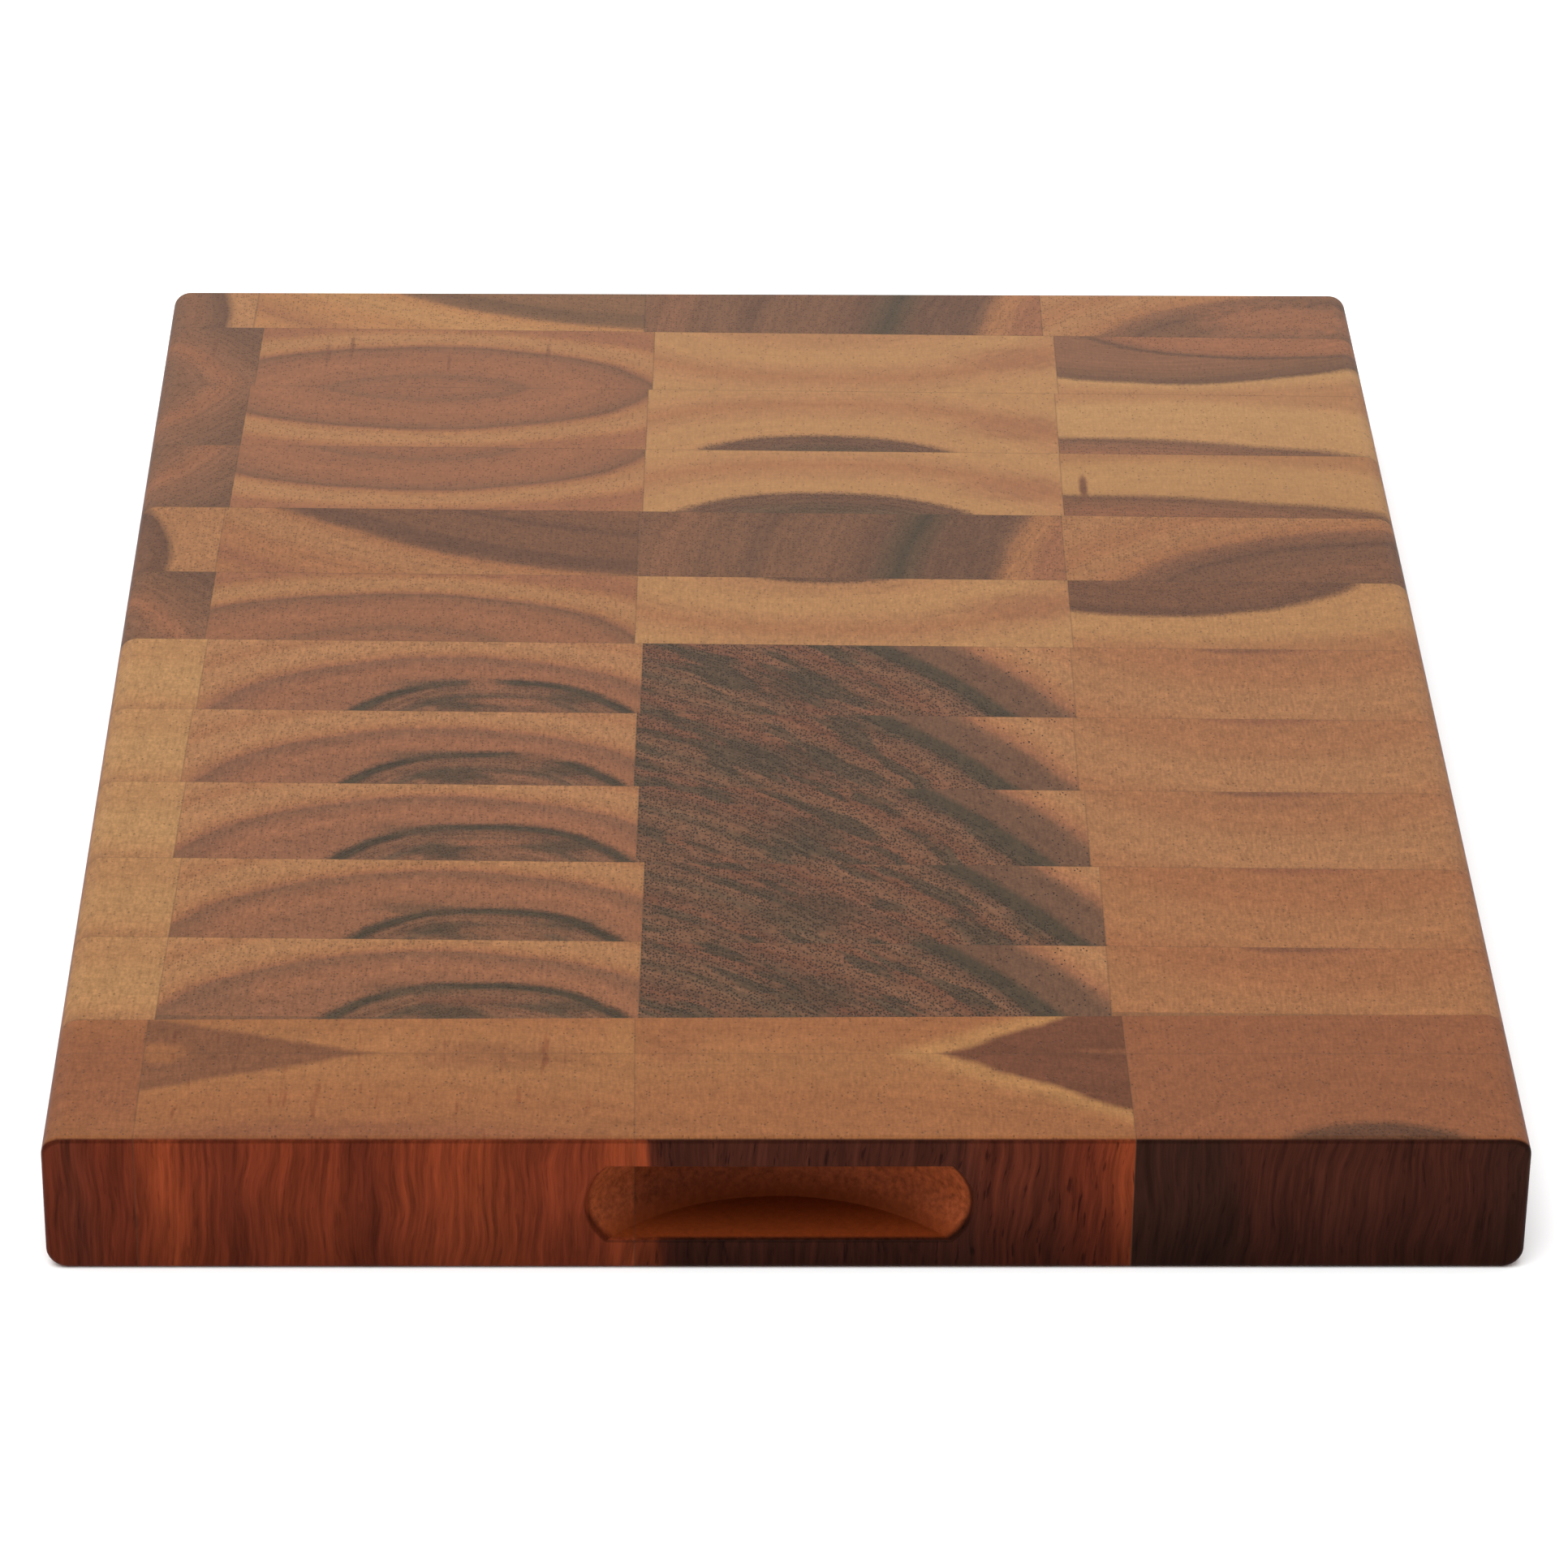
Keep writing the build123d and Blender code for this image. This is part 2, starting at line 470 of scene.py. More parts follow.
eyePanel = {
    "a": {
        "centre": (-150, -30), "squash": 1.0, "streak": 0.8, "cloud": 0.5, "pores": 0.35,
        "bands": [(22, "umber"), (28, "chocolate"), (34, "umber"), (40, "chocolate"), (45, "russet"),
                  (50, "chocolate"), (57, "umber"), (66, "plum")],
    },
    "b": {
        "centre": (-57, -24), "squash": 0.50, "streak": 0.35, "cloud": 0.25, "pores": 0.2, "marks": 0.5,
        "bands": [(7, "cocoa"), (11, "cocoa"), (13.4, "chocolate"), (14.4, "chocolate"), (15.2, "cocoa"),
                  (21, "russet"), (27, "cocoa"), (29.2, "chocolate"), (30.4, "umber"), (31.0, "cocoa"),
                  (32.4, "amber"), (34.5, "tan"), (37.5, "tan"), (39.5, "amber"), (41.5, "russet"),
                  (46, "russet"), (50, "amber")],
    },
    "c": {
        "centre": (44, 40), "squash": 0.643, "streak": 0.3, "cloud": 0.3, "pores": 0.04, "marks": 0.3,
        "bands": [(28, "tan"), (35, "honey"), (40, "honey"), (45, "tan"), (50, "amber"), (54, "tan"),
                  (60, "honey"), (66, "honey")],
        "lenses": [{"centre": (44, 40), "squash": 0.70, "edge": 29.8, "soft": 1.5,
                    "pores": 0.6, "streak": 1.0,
                    "fray": 3.6, "bands": [(21, "olive"), (26, "plum"), (32, "plum"), (36, "umber")]}],
        "stains": [{"at": (92, 3), "reach": (20, 9), "colour": "russet", "strength": 0.55}],
    },
    "d": {
        "centre": (128, 40), "squash": 0.5, "streak": 0.25, "cloud": 0.3, "pores": 0.04,
        "bands": [(20, "honey"), (42, "straw"), (50, "straw"), (56, "tan"), (70, "amber")],
        "lenses": [{"centre": (122, 25), "squash": 0.5, "edge": 26.0, "soft": 1.4,
                    "pores": 0.4, "streak": 0.6,
                    "bands": [(0, "umber"), (20, "umber"), (24.0, "plum"), (27, "umber")]}],
    },
}
# where the lens in the last block was cut near the end of its board, it shows as a long low band
lowLenses = [{"centre": (100, 25), "squash": 0.20, "edge": 17.2, "soft": 1.5, "pores": 0.3, "streak": 0.6,
              "bands": [(8, "cocoa"), (13, "chocolate"), (15.5, "umber"), (19, "umber")]}]
wideLenses = [{"centre": (128, 25), "squash": 0.50, "edge": 35.5, "soft": 1.3, "pores": 0.3, "streak": 0.6,
               "bands": [(18, "chocolate"), (26, "chocolate"), (31, "umber"), (35, "plum"), (37, "umber")]},
              {"centre": (155, 25), "squash": 0.42, "edge": 21.0, "soft": 0.6, "pores": 0.2, "streak": 0.5,
               "bands": [(8, "russet"), (16, "russet"), (18.6, "cocoa"), (20.0, "plum"), (22, "plum")]}]

darkPanel = {
    "a": {
        "centre": (-113, -62), "squash": 0.5, "streak": 0.25, "cloud": 0.3, "pores": 0.03,
        "bands": [(45, "tan"), (50, "honey"), (56, "straw"), (64, "straw"), (70, "honey"), (82, "honey")],
    },
    "b": {
        "centre": (-44, -30), "squash": 0.667, "streak": 0.3, "cloud": 0.3, "pores": 0.2,
        "bands": [(10, "cocoa"), (30, "cocoa"), (34.5, "russet"), (37.4, "cocoa"), (39.6, "chocolate"),
                  (41.0, "chocolate"), (41.8, "russet"), (43.5, "amber"), (46.5, "tan"), (50, "tan"),
                  (53, "amber"), (58, "tan"), (62, "tan")],
        "lenses": [{"centre": (-34, -30), "squash": 0.75, "edge": 28.9, "soft": 1.0,
                    "pores": 0.5, "streak": 1.3,
                    "fray": 3.4, "wander": 2.6,
                    "bands": [(12, "umber"), (15, "umber"), (18, "chocolate"), (20, "olive"),
                              (22, "umber"), (25.0, "umber"), (26.4, "ink"), (27.6, "ink"),
                              (29.0, "plum")]}],
        "stains": [{"at": (-41, -13), "reach": (14, 5), "colour": "ink", "strength": 0.8},
                   {"at": (-16, -10), "reach": (11, 4), "colour": "ink", "strength": 0.7},
                   {"at": (-48, -4), "reach": (14, 3.5), "colour": "olive", "strength": 0.6},
                   {"at": (-95, -16), "reach": (9, 14), "colour": "umber", "strength": 0.25}],
    },
    "c": {
        "centre": (-60, -120), "squash": 1.0, "streak": 1.5, "cloud": 0.5, "pores": 0.62, "wander": 2.2,
        "speckle": 1.1, "patches": 0.85, "heartEdge": 179.0, "poreDepth": 0.95,
        "bands": [(120, "umber"), (124, "plum"), (127, "sienna"), (130, "plum"), (133, "umber"),
                  (136, "olive"), (139, "umber"), (142, "plum"), (146, "sienna"), (150, "plum"),
                  (154, "sienna"), (159, "umber"), (165, "sienna"), (170, "umber"), (173.5, "plum"),
                  (175.5, "ink"), (179, "ink"), (181, "plum"), (188, "plum"), (190, "umber"),
                  (192, "russet"), (195.5, "amber"), (200, "tan"), (206, "amber")],
        "stains": [{"at": (37, -4), "reach": (15, 11), "colour": "ink", "strength": 0.6}],
    },
    "d": {
        "centre": (145, 27), "squash": 0.6, "streak": 0.25, "cloud": 0.4, "pores": 0.04,
        "bands": [(8, "chocolate"), (11, "russet"), (15, "amber"), (24, "amber"), (33, "tan"),
                  (42, "tan"), (50, "amber")],
    },
}
# the last board was cut near its pith, which shows most in every other strip
boldCap = {"d": [{"at": (140, 16.5), "reach": (15, 2.6), "colour": "chocolate", "strength": 0.8},
                 {"at": (140, 11), "reach": (24, 3.5), "colour": "russet", "strength": 0.35}]}
faintCap = {"d": [{"at": (140, 16.5), "reach": (15, 2.0), "colour": "russet", "strength": 0.5}]}

frontPanel = {
    "a": {
        "centre": (-113, -60), "squash": 0.4, "streak": 0.3, "cloud": 0.6, "pores": 0.05, "marks": 0.3,
        "bands": [(20, "amber"), (40, "russet"), (62, "russet"), (80, "amber")],
    },
    "b": {
        "centre": (-60, -80), "squash": 0.5, "streak": 0.3, "cloud": 0.6, "pores": 0.05, "marks": 0.8,
        "bands": [(45, "russet"), (52, "russet"), (57, "amber"), (64, "amber"), (74, "tan"), (86, "tan"),
                  (100, "amber")],
        "wedges": [{"tip": -55.0, "run": 3.3, "facing": -1.0, "soft": 4.5, "colour": "chocolate"}],
        "stains": [{"at": (-99, 0), "reach": (9, 6), "colour": "amber", "strength": 0.8},
                   {"at": (-30, -1), "reach": (26, 8), "colour": "cocoa", "strength": 0.5},
                   {"at": (-2, 6), "reach": (5, 12), "colour": "honey", "strength": 0.5}],
    },
    "c": {
        "centre": (20, -90), "squash": 0.5, "streak": 0.3, "cloud": 0.6, "pores": 0.05, "marks": 0.3,
        "bands": [(50, "amber"), (62, "amber"), (74, "amber"), (86, "tan"), (100, "amber"),
                  (116, "amber")],
        "wedges": [{"tip": 53.0, "run": 1.9, "facing": 1.0, "soft": 6.0, "colour": "straw"},
                   {"tip": 64.0, "run": 1.75, "facing": 1.0, "soft": 2.6, "colour": "sienna"}],
        "stains": [{"at": (101, 1), "reach": (14, 1.8), "colour": "cocoa", "strength": 0.7},
                   {"at": (8, 2), "reach": (9, 10), "colour": "russet", "strength": 0.45}],
    },
    "d": {
        "centre": (152, -45), "squash": 0.736, "streak": 0.3, "cloud": 0.4, "pores": 0.06,
        "bands": [(8, "russet"), (40, "russet"), (70, "russet")],
        "lenses": [{"centre": (152, -45), "squash": 0.736, "edge": 18.6, "soft": 1.6,
                    "pores": 0.3, "streak": 0.6,
                    "bands": [(8, "garnet"), (19, "plum")]}],
    },
}

# How the oil coloured the wood, strip by strip
plainTint = (0.96, 0.95, 0.94)
warmTint = (0.91, 0.87, 0.86)
warmerTint = (0.89, 0.80, 0.77)
deepestTint = (0.88, 0.78, 0.70)
brownTint = (0.97, 0.96, 0.98)

# Each strip: the panel it was sliced from, which way up it was turned, how far its figure and its lenses had
# grown, its tint, how strong its speckle is, and its own stains
strips = {
    1: {
        "panel": backPanel, "flip": 1, "speckle": 0.65, "growth": {"a": 5.0, "b": -1.5},
        "tint": {"b": (1.12, 1.16, 1.06)},
        "spots": {"d": [{"at": (165, -6), "reach": (30, 13), "colour": "russet", "strength": 0.9}]},
    },
    2: {
        "panel": eyePanel, "flip": 1, "speckle": 0.65, "lensGrowth": {"c": -9.0}, "lensesInD": wideLenses,
        "spots": {
            "a": [{"at": (-112, 6), "reach": (0.8, 9), "colour": "sienna", "strength": 0.6}],
            "b": [{"at": (-83, 2), "reach": (0.7, 9), "colour": "sienna", "strength": 0.6},
                  {"at": (-77, 6), "reach": (0.8, 9), "colour": "sienna", "strength": 0.7},
                  {"at": (-52, -2), "reach": (0.7, 9), "colour": "sienna", "strength": 0.6},
                  {"at": (-27, 2), "reach": (0.8, 10), "colour": "sienna", "strength": 0.6},
                  {"at": (-93, 15), "reach": (9, 5), "colour": "russet", "strength": 0.6}],
        },
    },
    3: {
        "panel": eyePanel, "flip": -1, "speckle": 0.65, "growth": {"b": 0.3}, "lensGrowth": {"c": 2.2},
        "lensesInD": lowLenses,
    },
    4: {
        "panel": eyePanel, "flip": -1, "speckle": 0.65, "lensGrowth": {"c": 4.7, "d": 2.3},
        "lensesInD": lowLenses, "tint": {"d": (0.93, 0.90, 0.88)},
        "spots": {"d": [{"at": (107.6, 1.5), "reach": (1.6, 9), "colour": "sienna", "strength": 0.95}]},
    },
    5: {"panel": backPanel, "flip": 1, "tint": {"all": warmTint, "c": plainTint}},
    6: {
        "panel": eyePanel, "flip": 1, "lensGrowth": {"c": -4.0},
        "tint": {"all": plainTint, "d": (0.90, 0.84, 0.82)},
    },
    7: {
        "panel": darkPanel, "flip": 1, "speckle": 1.25, "growth": {"b": -2.2},
        "tint": {"a": plainTint, "b": brownTint, "d": warmTint},
        "spots": {
            **boldCap,
            "b": [{"at": (-36, -4), "reach": (6, 5), "colour": "cocoa", "strength": 0.85},
                  {"at": (-31, -12), "reach": (14, 2.5), "colour": "cocoa", "strength": 0.8}],
        },
    },
    8: {
        "panel": darkPanel, "flip": 1, "speckle": 1.25, "growth": {"b": -2.6}, "lensGrowth": {"b": -0.4},
        "tint": {"a": plainTint, "b": brownTint, "d": warmTint},
        "spots": {
            **faintCap,
            "b": [{"at": (-20, -4), "reach": (12, 3), "colour": "cocoa", "strength": 0.7},
                  {"at": (-72, -13), "reach": (9, 5), "colour": "cocoa", "strength": 0.8}],
        },
    },
    9: {
        "panel": darkPanel, "flip": 1, "speckle": 1.25, "growth": {"c": 5.0}, "lensGrowth": {"b": 0.6},
        "tint": {"a": plainTint, "b": brownTint, "d": warmTint},
        "spots": {
            **boldCap,
            "b": [{"at": (-33, -9), "reach": (13, 2.2), "colour": "cocoa", "strength": 0.9},
                  {"at": (-33, -14), "reach": (8, 4), "colour": "chocolate", "strength": 0.7}],
        },
    },
    10: {
        "panel": darkPanel, "flip": 1, "speckle": 1.25,
        "growth": {"b": 1.0, "c": 8.5}, "lensGrowth": {"b": -2.0},
        "tint": {"a": warmTint, "b": plainTint, "d": warmerTint},
        "spots": {
            **faintCap,
            "b": [{"at": (-30, -13), "reach": (16, 3.5), "colour": "chocolate", "strength": 0.85}],
        },
    },
    11: {
        "panel": darkPanel, "flip": 1, "speckle": 1.25,
        "growth": {"b": 0.8, "c": 5.5}, "lensGrowth": {"b": 0.8},
        "tint": {"a": warmTint, "b": plainTint, "d": warmerTint},
        "spots": {
            **boldCap,
            "b": [{"at": (-88, -8), "reach": (11, 10), "colour": "umber", "strength": 0.5},
                  {"at": (-36, -8), "reach": (16, 3), "colour": "sienna", "strength": 0.7}],
        },
    },
    12: {"panel": frontPanel, "flip": 1, "tint": {"all": deepestTint}},
    13: {"panel": frontPanel, "flip": 1, "tint": {"all": deepestTint}},
}

# Long grain on the front end, in mm across the board
frontSkin = {
    "a": [(-153, "mahogany"), (-144, "rosewood"), (-138, "mahogany"), (-132, "mahogany")],
    "b": [(-136, "mahogany"), (-131, "chestnut"), (-126, "copper"), (-120, "chestnut"),
          (-112, "mahogany"), (-104, "chestnut"), (-90, "chestnut"), (-84, "mahogany"), (-78, "chestnut"),
          (-60, "copper"), (-52, "chestnut"), (-38, "chestnut"), (-33, "copper"), (-28, "copper")],
    "c": [(-32, "copper"), (-26.4, "copper"), (-25.2, "rosewood"), (-22, "wenge"), (10, "wenge"),
          (38, "wenge"), (44, "rosewood"), (56, "rosewood"), (62, "mahogany"), (65, "mahogany"),
          (68, "chestnut"), (71, "copper")],
    "d": [(70, "ebony"), (92, "ebony"), (98, "wenge"), (125, "wenge"), (140, "wenge"), (153, "ebony")],
}


# where each strip lies

def blockBox(row, letter):
    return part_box(f"row_{row:02d}_block_{letter}")


# strips 2 to 10 are all as deep as this one, and lean as much
typicalRow = 5
typicalHighB = blockBox(typicalRow, "b")[1]
typicalLowC = blockBox(typicalRow, "c")[0]
stripPitch = blockBox(typicalRow, "c")[1].y - blockBox(typicalRow, "b")[0].y
stripLean = (typicalHighB.x - typicalLowC.x) / stripPitch


def stripFrame(row):
    # the middle joint's place on the strip's centre line, and how far the strip is turned
    lowB, highB = blockBox(row, "b")
    lowC, highC = blockBox(row, "c")
    turn = math.atan(stripLean) if row <= lastSkewedRow else 0.0
    if row == narrowRow:
        centre = lowB.y  # the two front strips share one figure, centred on the glue line between them
    elif row == frontRow:
        centre = highC.y
    elif row == backRow:
        centre = lowB.y + stripPitch / 2  # trimmed at its back, so it is measured from its front
    else:
        centre = highC.y - stripPitch / 2
    return Vector(((highB.x + lowC.x) / 2, centre, topOfBoard)), turn


# materials

halfLength = cadHigh.y * mmPerMetre
halfThickness = topOfBoard / 2 * mmPerMetre

# Pairs are where an effect starts and where it is full: skinDepth in mm past the end face, the rise of the
# painted shade low down in mm above the underside, and the others as parts of the surface normal
blockFinish = {
    "roughness": 0.47,
    "roughnessSpread": 0.16,
    "sideRoughness": 0.36,
    "sideRoughnessSpread": 0.14,
    "specular": 0.022,
    "sideTint": (0.50, 0.185, 0.145),
    "sideBands": 0.45,
    "sideLines": 0.95,
    "sideLean": -0.05,
    "sideHeight": 0.8,
    "skinSlant": 0.10,
    "skinDepth": (-3.0, -1.6),
    "endGrainFacing": (0.25, 0.70),
    "lowShadeRise": (25.0, 0.0),
    "rimShade": 0.60,
    "rimFacing": (0.05, 0.35),
    "rimEndways": (0.2, 0.5),
    "dashTint": (0.36, 0.32, 0.36),
    "speckleDepth": 0.82,
    "streakDepth": 0.45,
    "cloudDepth": 0.34,
    "markTint": (0.80, 0.70, 0.70),
    "poreSize": 0.62,
    "poreDepth": 0.45,
    "sliceStep": 0.35,
    "wander": 1.6,
    "fray": 2.4,
    "frayScale": 1.1,
    "glueDarkness": 0.35,
    "glueWidth": 0.28,  # in mm
    "glueReach": 0.01,  # in metres
    "bumpHeight": 0.00009,  # in metres
    "bumpStrength": 0.6,
}

# the sapwood beside a dark heart has hardly any pores, and calmer streaks
heartFinish = {"soft": 5.0, "patchEdge": (0.50, 0.60), "sapPores": 0.05, "sapStreak": 0.35}

# the dark heartwood of the front strip has the boldest dashes, and its blocks get different amounts of painted
# shade low down
frontDashShares = {"a": 0.35, "b": 0.35, "c": 0.85, "d": 0.5}
otherDashShare = 0.4
frontLowShadeShares = {"a": 0.15, "b": 0.30, "c": 0.55, "d": 0.50}
otherLowShadeShare = 0.25

# startDepth is in mm past the end face, the fade of block C's grip wall from painted shade to painted light in
# mm across the board, and aboveAndBelow in mm from the middle of its thickness
gripFinish = {
    "markScale": 700.0,  # per metre
    "markDepth": 0.9,
    "toneInB": 0.7,
    "toneInC": 1.1,
    "paintedShadeToLight": (-30.0, 30.0),
    "floorLines": 0.35,
    "floorFacing": (0.3, 0.8),
    "startDepth": (-2.2, -0.7),
    "aboveAndBelow": (10.5, 12.0),
}


def brighten(tree, colour, tone, depth):
    # tone is a noise value about 0.5: the colour goes up and down by depth
    doubled = calc(tree, "MULTIPLY", calc(tree, "SUBTRACT", tone, 0.5), 2.0)
    factor = calc(tree, "MULTIPLY_ADD", doubled, depth, 1.0)
    return vectorCalc(tree, "MULTIPLY", colour, join(tree, factor, factor, factor))


def tinted(tree, colour, tint):
    return mixColours(tree, 1.0, colour, opaque(tint), "MULTIPLY")


def ringFigure(tree, point, figure, growth):
    return useGroup(tree, growthRings, {
        "Point": point,
        "Centre": (*figure["centre"], 0.0),
        "Squash": figure["squash"],
        "Growth": growth,
        "Wander": figure.get("wander", blockFinish["wander"]),
    })


def addLens(tree, point, lens, growth, colour, outerPores):
    # a lens of heartwood with a frayed edge, and how open the pores are in it and round it
    rings = ringFigure(tree, point, lens, growth)
    fray = calc(tree, "SUBTRACT", noise(tree, point, blockFinish["frayScale"], 3.0, 0.7), 0.5)
    ragged = calc(tree, "MULTIPLY_ADD", fray, lens.get("fray", blockFinish["fray"]), rings["Ring"])
    mask = smoothStep(tree, ragged, lens["edge"] - lens["soft"], lens["edge"] + lens["soft"], 1.0, 0.0)
    lensColour = bandColours(tree, rings["Ring"], lens["bands"], endGrainColours)
    lensColour = brighten(tree, lensColour, rings["Streak"], blockFinish["streakDepth"] * lens["streak"])
    poreShare = calc(tree, "MULTIPLY_ADD", mask, lens["pores"] - outerPores, outerPores)
    return mixColours(tree, mask, colour, lensColour), poreShare


def endGrainFigure(tree, point, row, letter):
    # the colour of a block's end grain, and how open its pores are
    strip = strips[row]
    figure = strip["panel"][letter]
    rings = ringFigure(tree, point, figure, strip.get("growth", {}).get(letter, 0.0))
    colour = bandColours(tree, rings["Ring"], figure["bands"], endGrainColours)
    poreShare = figure["pores"]
    streakShare = figure["streak"]
    lenses = figure.get("lenses", [])
    if letter == "d":
        lenses = strip.get("lensesInD", lenses)
    lensGrowth = strip.get("lensGrowth", {}).get(letter, 0.0)
    for lens in lenses:
        colour, poreShare = addLens(tree, point, lens, lensGrowth, colour, figure["pores"])
    for wedge in figure.get("wedges", []):
        mask = useGroup(tree, heartWedge, {
            "Point": point, "Tip": wedge["tip"], "Run": wedge["run"], "Facing": wedge["facing"],
            "Soft": wedge["soft"],
        })["Mask"]
        colour = mixColours(tree, mask, colour, opaque(endGrainColours[wedge["colour"]]))
    if "patches" in figure:
        edge = figure["heartEdge"]
        inHeart = smoothStep(tree, rings["Ring"], edge - heartFinish["soft"], edge, 1.0, 0.0)
        mask = calc(tree, "MULTIPLY", smoothStep(tree, rings["Cloud"], *heartFinish["patchEdge"]), inHeart)
        share = calc(tree, "MULTIPLY", mask, figure["patches"])
        colour = mixColours(tree, share, colour, opaque(endGrainColours["ink"]))
        sapPores, sapStreak = heartFinish["sapPores"], heartFinish["sapStreak"]
        poreShare = calc(tree, "MULTIPLY_ADD", inHeart, poreShare - sapPores, sapPores)
        streakShare = calc(tree, "MULTIPLY_ADD", inHeart, streakShare - sapStreak, sapStreak)
    for spot in figure.get("stains", []) + strip.get("spots", {}).get(letter, []):
        mask = useGroup(tree, stain, {
            "Point": point, "Middle": (*spot["at"], 0.0), "Reach": (*spot["reach"], 1.0),
        })["Mask"]
        share = calc(tree, "MULTIPLY", mask, spot["strength"])
        colour = mixColours(tree, share, colour, opaque(endGrainColours[spot["colour"]]))
    if "marks" in figure:
        mask = useGroup(tree, rayMarks, {"Point": point, "Share": figure["marks"]})["Mask"]
        colour = mixColours(tree, mask, colour, tinted(tree, colour, blockFinish["markTint"]))
    tints = strip.get("tint", {})
    tint = tints.get(letter, tints.get("all"))
    if tint:
        colour = tinted(tree, colour, tint)
    colour = brighten(tree, colour, rings["Cloud"], blockFinish["cloudDepth"] * figure["cloud"])
    streakDepth = calc(tree, "MULTIPLY", streakShare, blockFinish["streakDepth"])
    return brighten(tree, colour, rings["Streak"], streakDepth), poreShare


def speckled(tree, colour, grain, row, letter):
    # specks and open pores over the figure
    strip = strips[row]
    figure = strip["panel"][letter]
    speckle = figure.get("speckle", 1.0) * strip.get("speckle", 1.0) * blockFinish["speckleDepth"]
    colour = brighten(tree, colour, grain["Tone"], speckle)
    poreDepth = calc(tree, "MULTIPLY", grain["Pores"], figure.get("poreDepth", blockFinish["poreDepth"]))
    return mixColours(tree, poreDepth, colour, opaque(endGrainColours["pore"]))


def gripSurface(tree, letter, position, x, facing, lines):
    # inside the finger grip the cutter left a rougher, paler surface, and across block C the wall goes from
    # painted shade at its left to painted light at its right
    tone = gripFinish["toneInB"]
    if letter == "c":
        tone = calc(tree, "MULTIPLY", smoothStep(tree, x, *gripFinish["paintedShadeToLight"]), gripFinish["toneInC"])
    dark, pale = opaque(longGrainColours["gripDark"]), opaque(longGrainColours["gripPale"])
    wall = mixColours(tree, tone, dark, pale)
    cutterMarks = noise(tree, position, gripFinish["markScale"], 3.0, 0.7)
    wall = brighten(tree, wall, cutterMarks, gripFinish["markDepth"])
    # the grip floor: its own colour, partly darkened by painted shade of the recess
    gripFloor = brighten(tree, longGrainColours["gripFloor"], lines, gripFinish["floorLines"])
    return mixColours(tree, smoothStep(tree, facing, *gripFinish["floorFacing"]), wall, gripFloor)


def pastEndFace(tree, y):
    # mm beyond the nearer end of the board, so less than zero inside it
    return calc(tree, "SUBTRACT", calc(tree, "ABSOLUTE", y), halfLength)


def longGrainColour(tree, row, letter, figureColour, place, endways, facing, sides):
    # the ends and sides of a block, tinted from its own end grain, and the front end's own figure
    x, y, z = place
    colour = tinted(tree, figureColour, blockFinish["sideTint"])
    if row == frontRow:
        slanted = calc(tree, "MULTIPLY_ADD", z, blockFinish["skinSlant"], x)
        skin = bandColours(tree, slanted, frontSkin[letter], longGrainColours)
        isSkin = smoothStep(tree, pastEndFace(tree, y), *blockFinish["skinDepth"])
        colour = mixColours(tree, isSkin, colour, skin)
    colour = brighten(tree, colour, sides["Bands"], blockFinish["sideBands"])
    colour = brighten(tree, colour, sides["Lines"], blockFinish["sideLines"])
    dashShare = frontDashShares[letter] if row == frontRow else otherDashShare
    dashes = calc(tree, "MULTIPLY", sides["Dashes"], dashShare)
    colour = mixColours(tree, dashes, colour, tinted(tree, colour, blockFinish["dashTint"]))
    # painted shade low down, and more painted shade on the eased rim along the top of each end
    lowShadeShare = frontLowShadeShares[letter] if row == frontRow else otherLowShadeShare
    lowShaded = calc(tree, "MULTIPLY_ADD", smoothStep(tree, z, *blockFinish["lowShadeRise"]), -lowShadeShare, 1.0)
    # painted shade on the eased rim along the top of each end, as strong as rimShade sets
    upwards = smoothStep(tree, facing, *blockFinish["rimFacing"])
    onRim = calc(tree, "MULTIPLY", upwards, smoothStep(tree, endways, *blockFinish["rimEndways"]))
    onRim = calc(tree, "MULTIPLY", onRim, 1.0 - blockFinish["rimShade"])
    shade = calc(tree, "MULTIPLY", lowShaded, calc(tree, "SUBTRACT", 1.0, onRim))
    return vectorCalc(tree, "MULTIPLY", colour, join(tree, shade, shade, shade))


def glueMask(tree, point, row, letter, origin, turn):
    boxLow, boxHigh = blockBox(row, letter)
    low, high = Vector(boxLow), Vector(boxHigh)
    # the box of an outer block reaches past the board, so that its outer faces show no glue
    if letter == "a":
        low.x -= blockFinish["glueReach"]
    if letter == "d":
        high.x += blockFinish["glueReach"]
    if row == frontRow:
        low.y -= blockFinish["glueReach"]
    if row == backRow:
        high.y += blockFinish["glueReach"]
    halfSize = Vector((high - low) / 2) * mmPerMetre
    if row <= lastSkewedRow:
        # a turned block's box is larger than the block
        halfSize.x -= stripLean * stripPitch / 2 * mmPerMetre
        halfSize.y -= stripLean * (boxHigh.x - boxLow.x) / 2 * mmPerMetre
    middlePoint = Quaternion((0, 0, 1), turn) @ (Vector((low + high) / 2 - origin) * mmPerMetre)
    middlePoint.y *= strips[row]["flip"]
    joint = useGroup(tree, glueLine, {
        "Point": point, "Middle": middlePoint, "Half": halfSize, "Width": blockFinish["glueWidth"],
    })["Line"]
    return calc(tree, "MULTIPLY", joint, blockFinish["glueDarkness"])


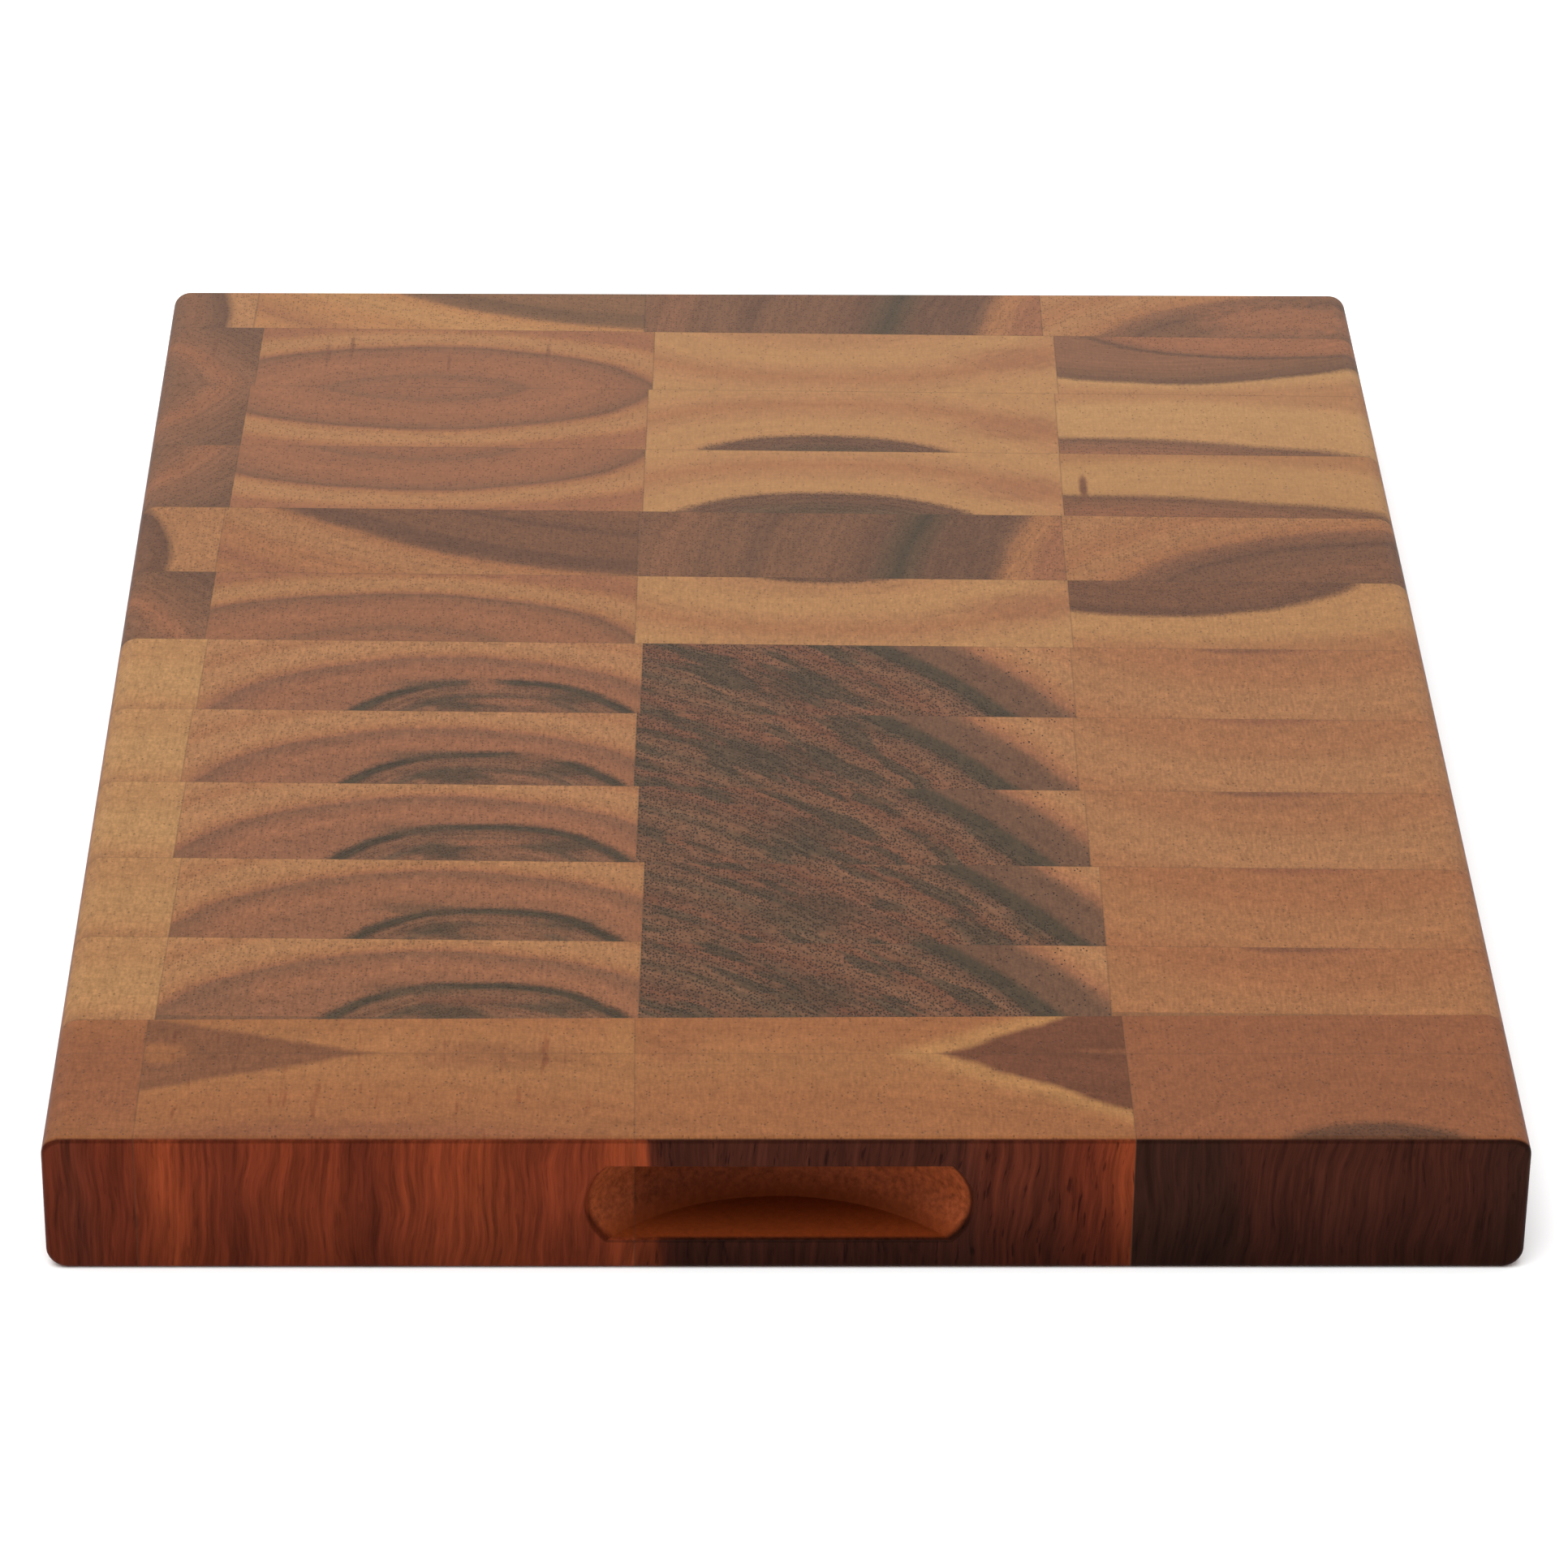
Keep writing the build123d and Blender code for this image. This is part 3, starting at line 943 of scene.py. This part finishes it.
def makeBlockMaterial(row, letter):
    material = bpy.data.materials.new(f"woodRow{row:02d}{letter.upper()}")
    material.use_nodes = True
    tree = material.node_tree
    shader = tree.nodes["Principled BSDF"]
    shader.inputs["Specular IOR Level"].default_value = blockFinish["specular"]
    coordinates = addNode(tree, "ShaderNodeTexCoord").outputs
    position = coordinates["Object"]
    place = split(tree, vectorCalc(tree, "MULTIPLY", position, inMillimetres))
    normal = split(tree, coordinates["Normal"])
    endways, facing = calc(tree, "ABSOLUTE", normal[1]), normal[2]
    origin, turn = stripFrame(row)
    point = useGroup(tree, stripPoint, {
        "Position": position, "Origin": origin, "Turn": turn, "Flip": float(strips[row]["flip"]),
        "Slice": blockFinish["sliceStep"] * row,
    })["Point"]
    figureColour, poreShare = endGrainFigure(tree, point, row, letter)
    grain = useGroup(tree, endGrain, {
        "Point": point, "Pore Size": blockFinish["poreSize"], "Pore Share": poreShare,
    })
    endColour = speckled(tree, figureColour, grain, row, letter)
    sides = useGroup(tree, longGrain, {"Position": position, "Lean": blockFinish["sideLean"]})
    sideColour = longGrainColour(tree, row, letter, figureColour, place, endways, facing, sides)
    # faces square to the fibres show end grain, and faces along them long grain
    tipped = calc(tree, "MULTIPLY_ADD", endways, -0.5, calc(tree, "ABSOLUTE", facing))
    isEnd = smoothStep(tree, tipped, *blockFinish["endGrainFacing"])
    if row in (backRow, frontRow) and letter in "bc":
        gripColour = gripSurface(tree, letter, position, place[0], facing, sides["Lines"])
        inGrip = smoothStep(tree, pastEndFace(tree, place[1]), *gripFinish["startDepth"], 1.0, 0.0)
        sideColour = mixColours(tree, inGrip, sideColour, gripColour)
        fromMiddle = calc(tree, "ABSOLUTE", calc(tree, "SUBTRACT", place[2], halfThickness))
        isEnd = calc(tree, "MULTIPLY", isEnd, smoothStep(tree, fromMiddle, *gripFinish["aboveAndBelow"]))
    colour = mixColours(tree, isEnd, sideColour, endColour)
    glueShare = glueMask(tree, point, row, letter, origin, turn)
    colour = mixColours(tree, glueShare, colour, opaque(endGrainColours["ink"]))
    feed(tree, shader.inputs["Base Color"], colour)
    # satin oil, duller on end grain
    spread, sideSpread = blockFinish["roughnessSpread"], blockFinish["sideRoughnessSpread"]
    endRough = calc(tree, "MULTIPLY_ADD", grain["Tone"], spread, blockFinish["roughness"] - spread / 2)
    sideRough = calc(tree, "MULTIPLY_ADD", sides["Bands"], sideSpread,
                     blockFinish["sideRoughness"] - sideSpread / 2)
    feed(tree, shader.inputs["Roughness"], mixValues(tree, isEnd, sideRough, endRough))
    sideHeight = calc(tree, "MULTIPLY", sides["Height"], blockFinish["sideHeight"])
    relief = mixValues(tree, isEnd, sideHeight, grain["Height"])
    strength, height = blockFinish["bumpStrength"], blockFinish["bumpHeight"]
    bump = addNode(tree, "ShaderNodeBump", {"Strength": strength, "Distance": height, "Height": relief})
    feed(tree, shader.inputs["Normal"], bump.outputs[0])
    return material


for row in strips:
    for letter in "abcd":
        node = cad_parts[f"row_{row:02d}_block_{letter}"]
        node.data.materials.clear()
        node.data.materials.append(makeBlockMaterial(row, letter))
print("finished", len(strips) * 4, "blocks")


# floor, lights and camera

stageSettings = {
    "floorSize": 9.0,
    "floorColour": (0.95, 0.95, 0.95),
    "floorRoughness": 0.8,
    "floorSpecular": 0.1,
    "floorUnevenness": 0.01,
    "floorUnevenScale": 3.0,
    "worldColour": (1.0, 1.0, 1.0),
    "worldStrength": 0.60,
}


def makeFloor():
    half = stageSettings["floorSize"] / 2
    corners = [(-half, -half, 0.0), (half, -half, 0.0), (half, half, 0.0), (-half, half, 0.0)]
    mesh = bpy.data.meshes.new("studioFloor")
    mesh.from_pydata(corners, [], [(0, 1, 2, 3)])
    floor = bpy.data.objects.new("studioFloor", mesh)
    bpy.context.scene.collection.objects.link(floor)
    material = bpy.data.materials.new("studioFloor")
    material.use_nodes = True
    tree = material.node_tree
    shader = tree.nodes["Principled BSDF"]
    shader.inputs["Roughness"].default_value = stageSettings["floorRoughness"]
    shader.inputs["Specular IOR Level"].default_value = stageSettings["floorSpecular"]
    place = addNode(tree, "ShaderNodeTexCoord").outputs["Object"]
    uneven = noise(tree, place, stageSettings["floorUnevenScale"], 2.0)
    colour = brighten(tree, stageSettings["floorColour"], uneven, stageSettings["floorUnevenness"])
    feed(tree, shader.inputs["Base Color"], colour)
    mesh.materials.append(material)


softLights = {
    "overhead": {
        "at": (-0.25, -0.55, 1.85), "towards": (0.0, 0.0, 0.0), "width": 1.9, "height": 1.9, "watts": 44.0,
    },
    "lowBack": {
        "at": (0.0, 1.25, 0.42), "towards": (0.0, 0.1, 0.03), "width": 2.0, "height": 0.45, "watts": 12.0,
    },
}


def makeLight(name, settings):
    data = bpy.data.lights.new(name, "AREA")
    data.shape = "RECTANGLE"
    data.size = settings["width"]
    data.size_y = settings["height"]
    data.energy = settings["watts"]
    light = bpy.data.objects.new(name, data)
    bpy.context.scene.collection.objects.link(light)
    light.visible_camera = False
    light.location = settings["at"]
    towards = Vector(settings["towards"]) - light.location
    light.rotation_mode = "QUATERNION"
    light.rotation_quaternion = towards.to_track_quat("-Z", "Y")


cameraSettings = {
    "at": (-0.0271, -1.2801, 0.7249),
    "towards": (0.0023, -0.0283, 0.0159),
    "roll": 0.74,
    "lens": 144.0,
    "sensor": 36.0,
    "nearest": 0.05,
    "farthest": 30.0,
}


def makeCamera():
    data = bpy.data.cameras.new("studioCamera")
    data.lens = cameraSettings["lens"]
    data.sensor_width = cameraSettings["sensor"]
    data.clip_start = cameraSettings["nearest"]
    data.clip_end = cameraSettings["farthest"]
    camera = bpy.data.objects.new("studioCamera", data)
    bpy.context.scene.collection.objects.link(camera)
    camera.location = cameraSettings["at"]
    towards = Vector(cameraSettings["towards"]) - camera.location
    camera.rotation_mode = "QUATERNION"
    level = towards.to_track_quat("-Z", "Y")
    camera.rotation_quaternion = level @ Quaternion((0, 0, 1), math.radians(cameraSettings["roll"]))
    bpy.context.scene.camera = camera


def makeWorld():
    world = bpy.data.worlds.new("studio")
    world.use_nodes = True
    background = world.node_tree.nodes["Background"]
    background.inputs["Color"].default_value = opaque(stageSettings["worldColour"])
    background.inputs["Strength"].default_value = stageSettings["worldStrength"]
    bpy.context.scene.world = world


makeFloor()
for lightName, lightSettings in softLights.items():
    makeLight(lightName, lightSettings)
makeCamera()
makeWorld()
bpy.context.scene.view_settings.view_transform = "Standard"
print("set the floor, the lights and the camera")
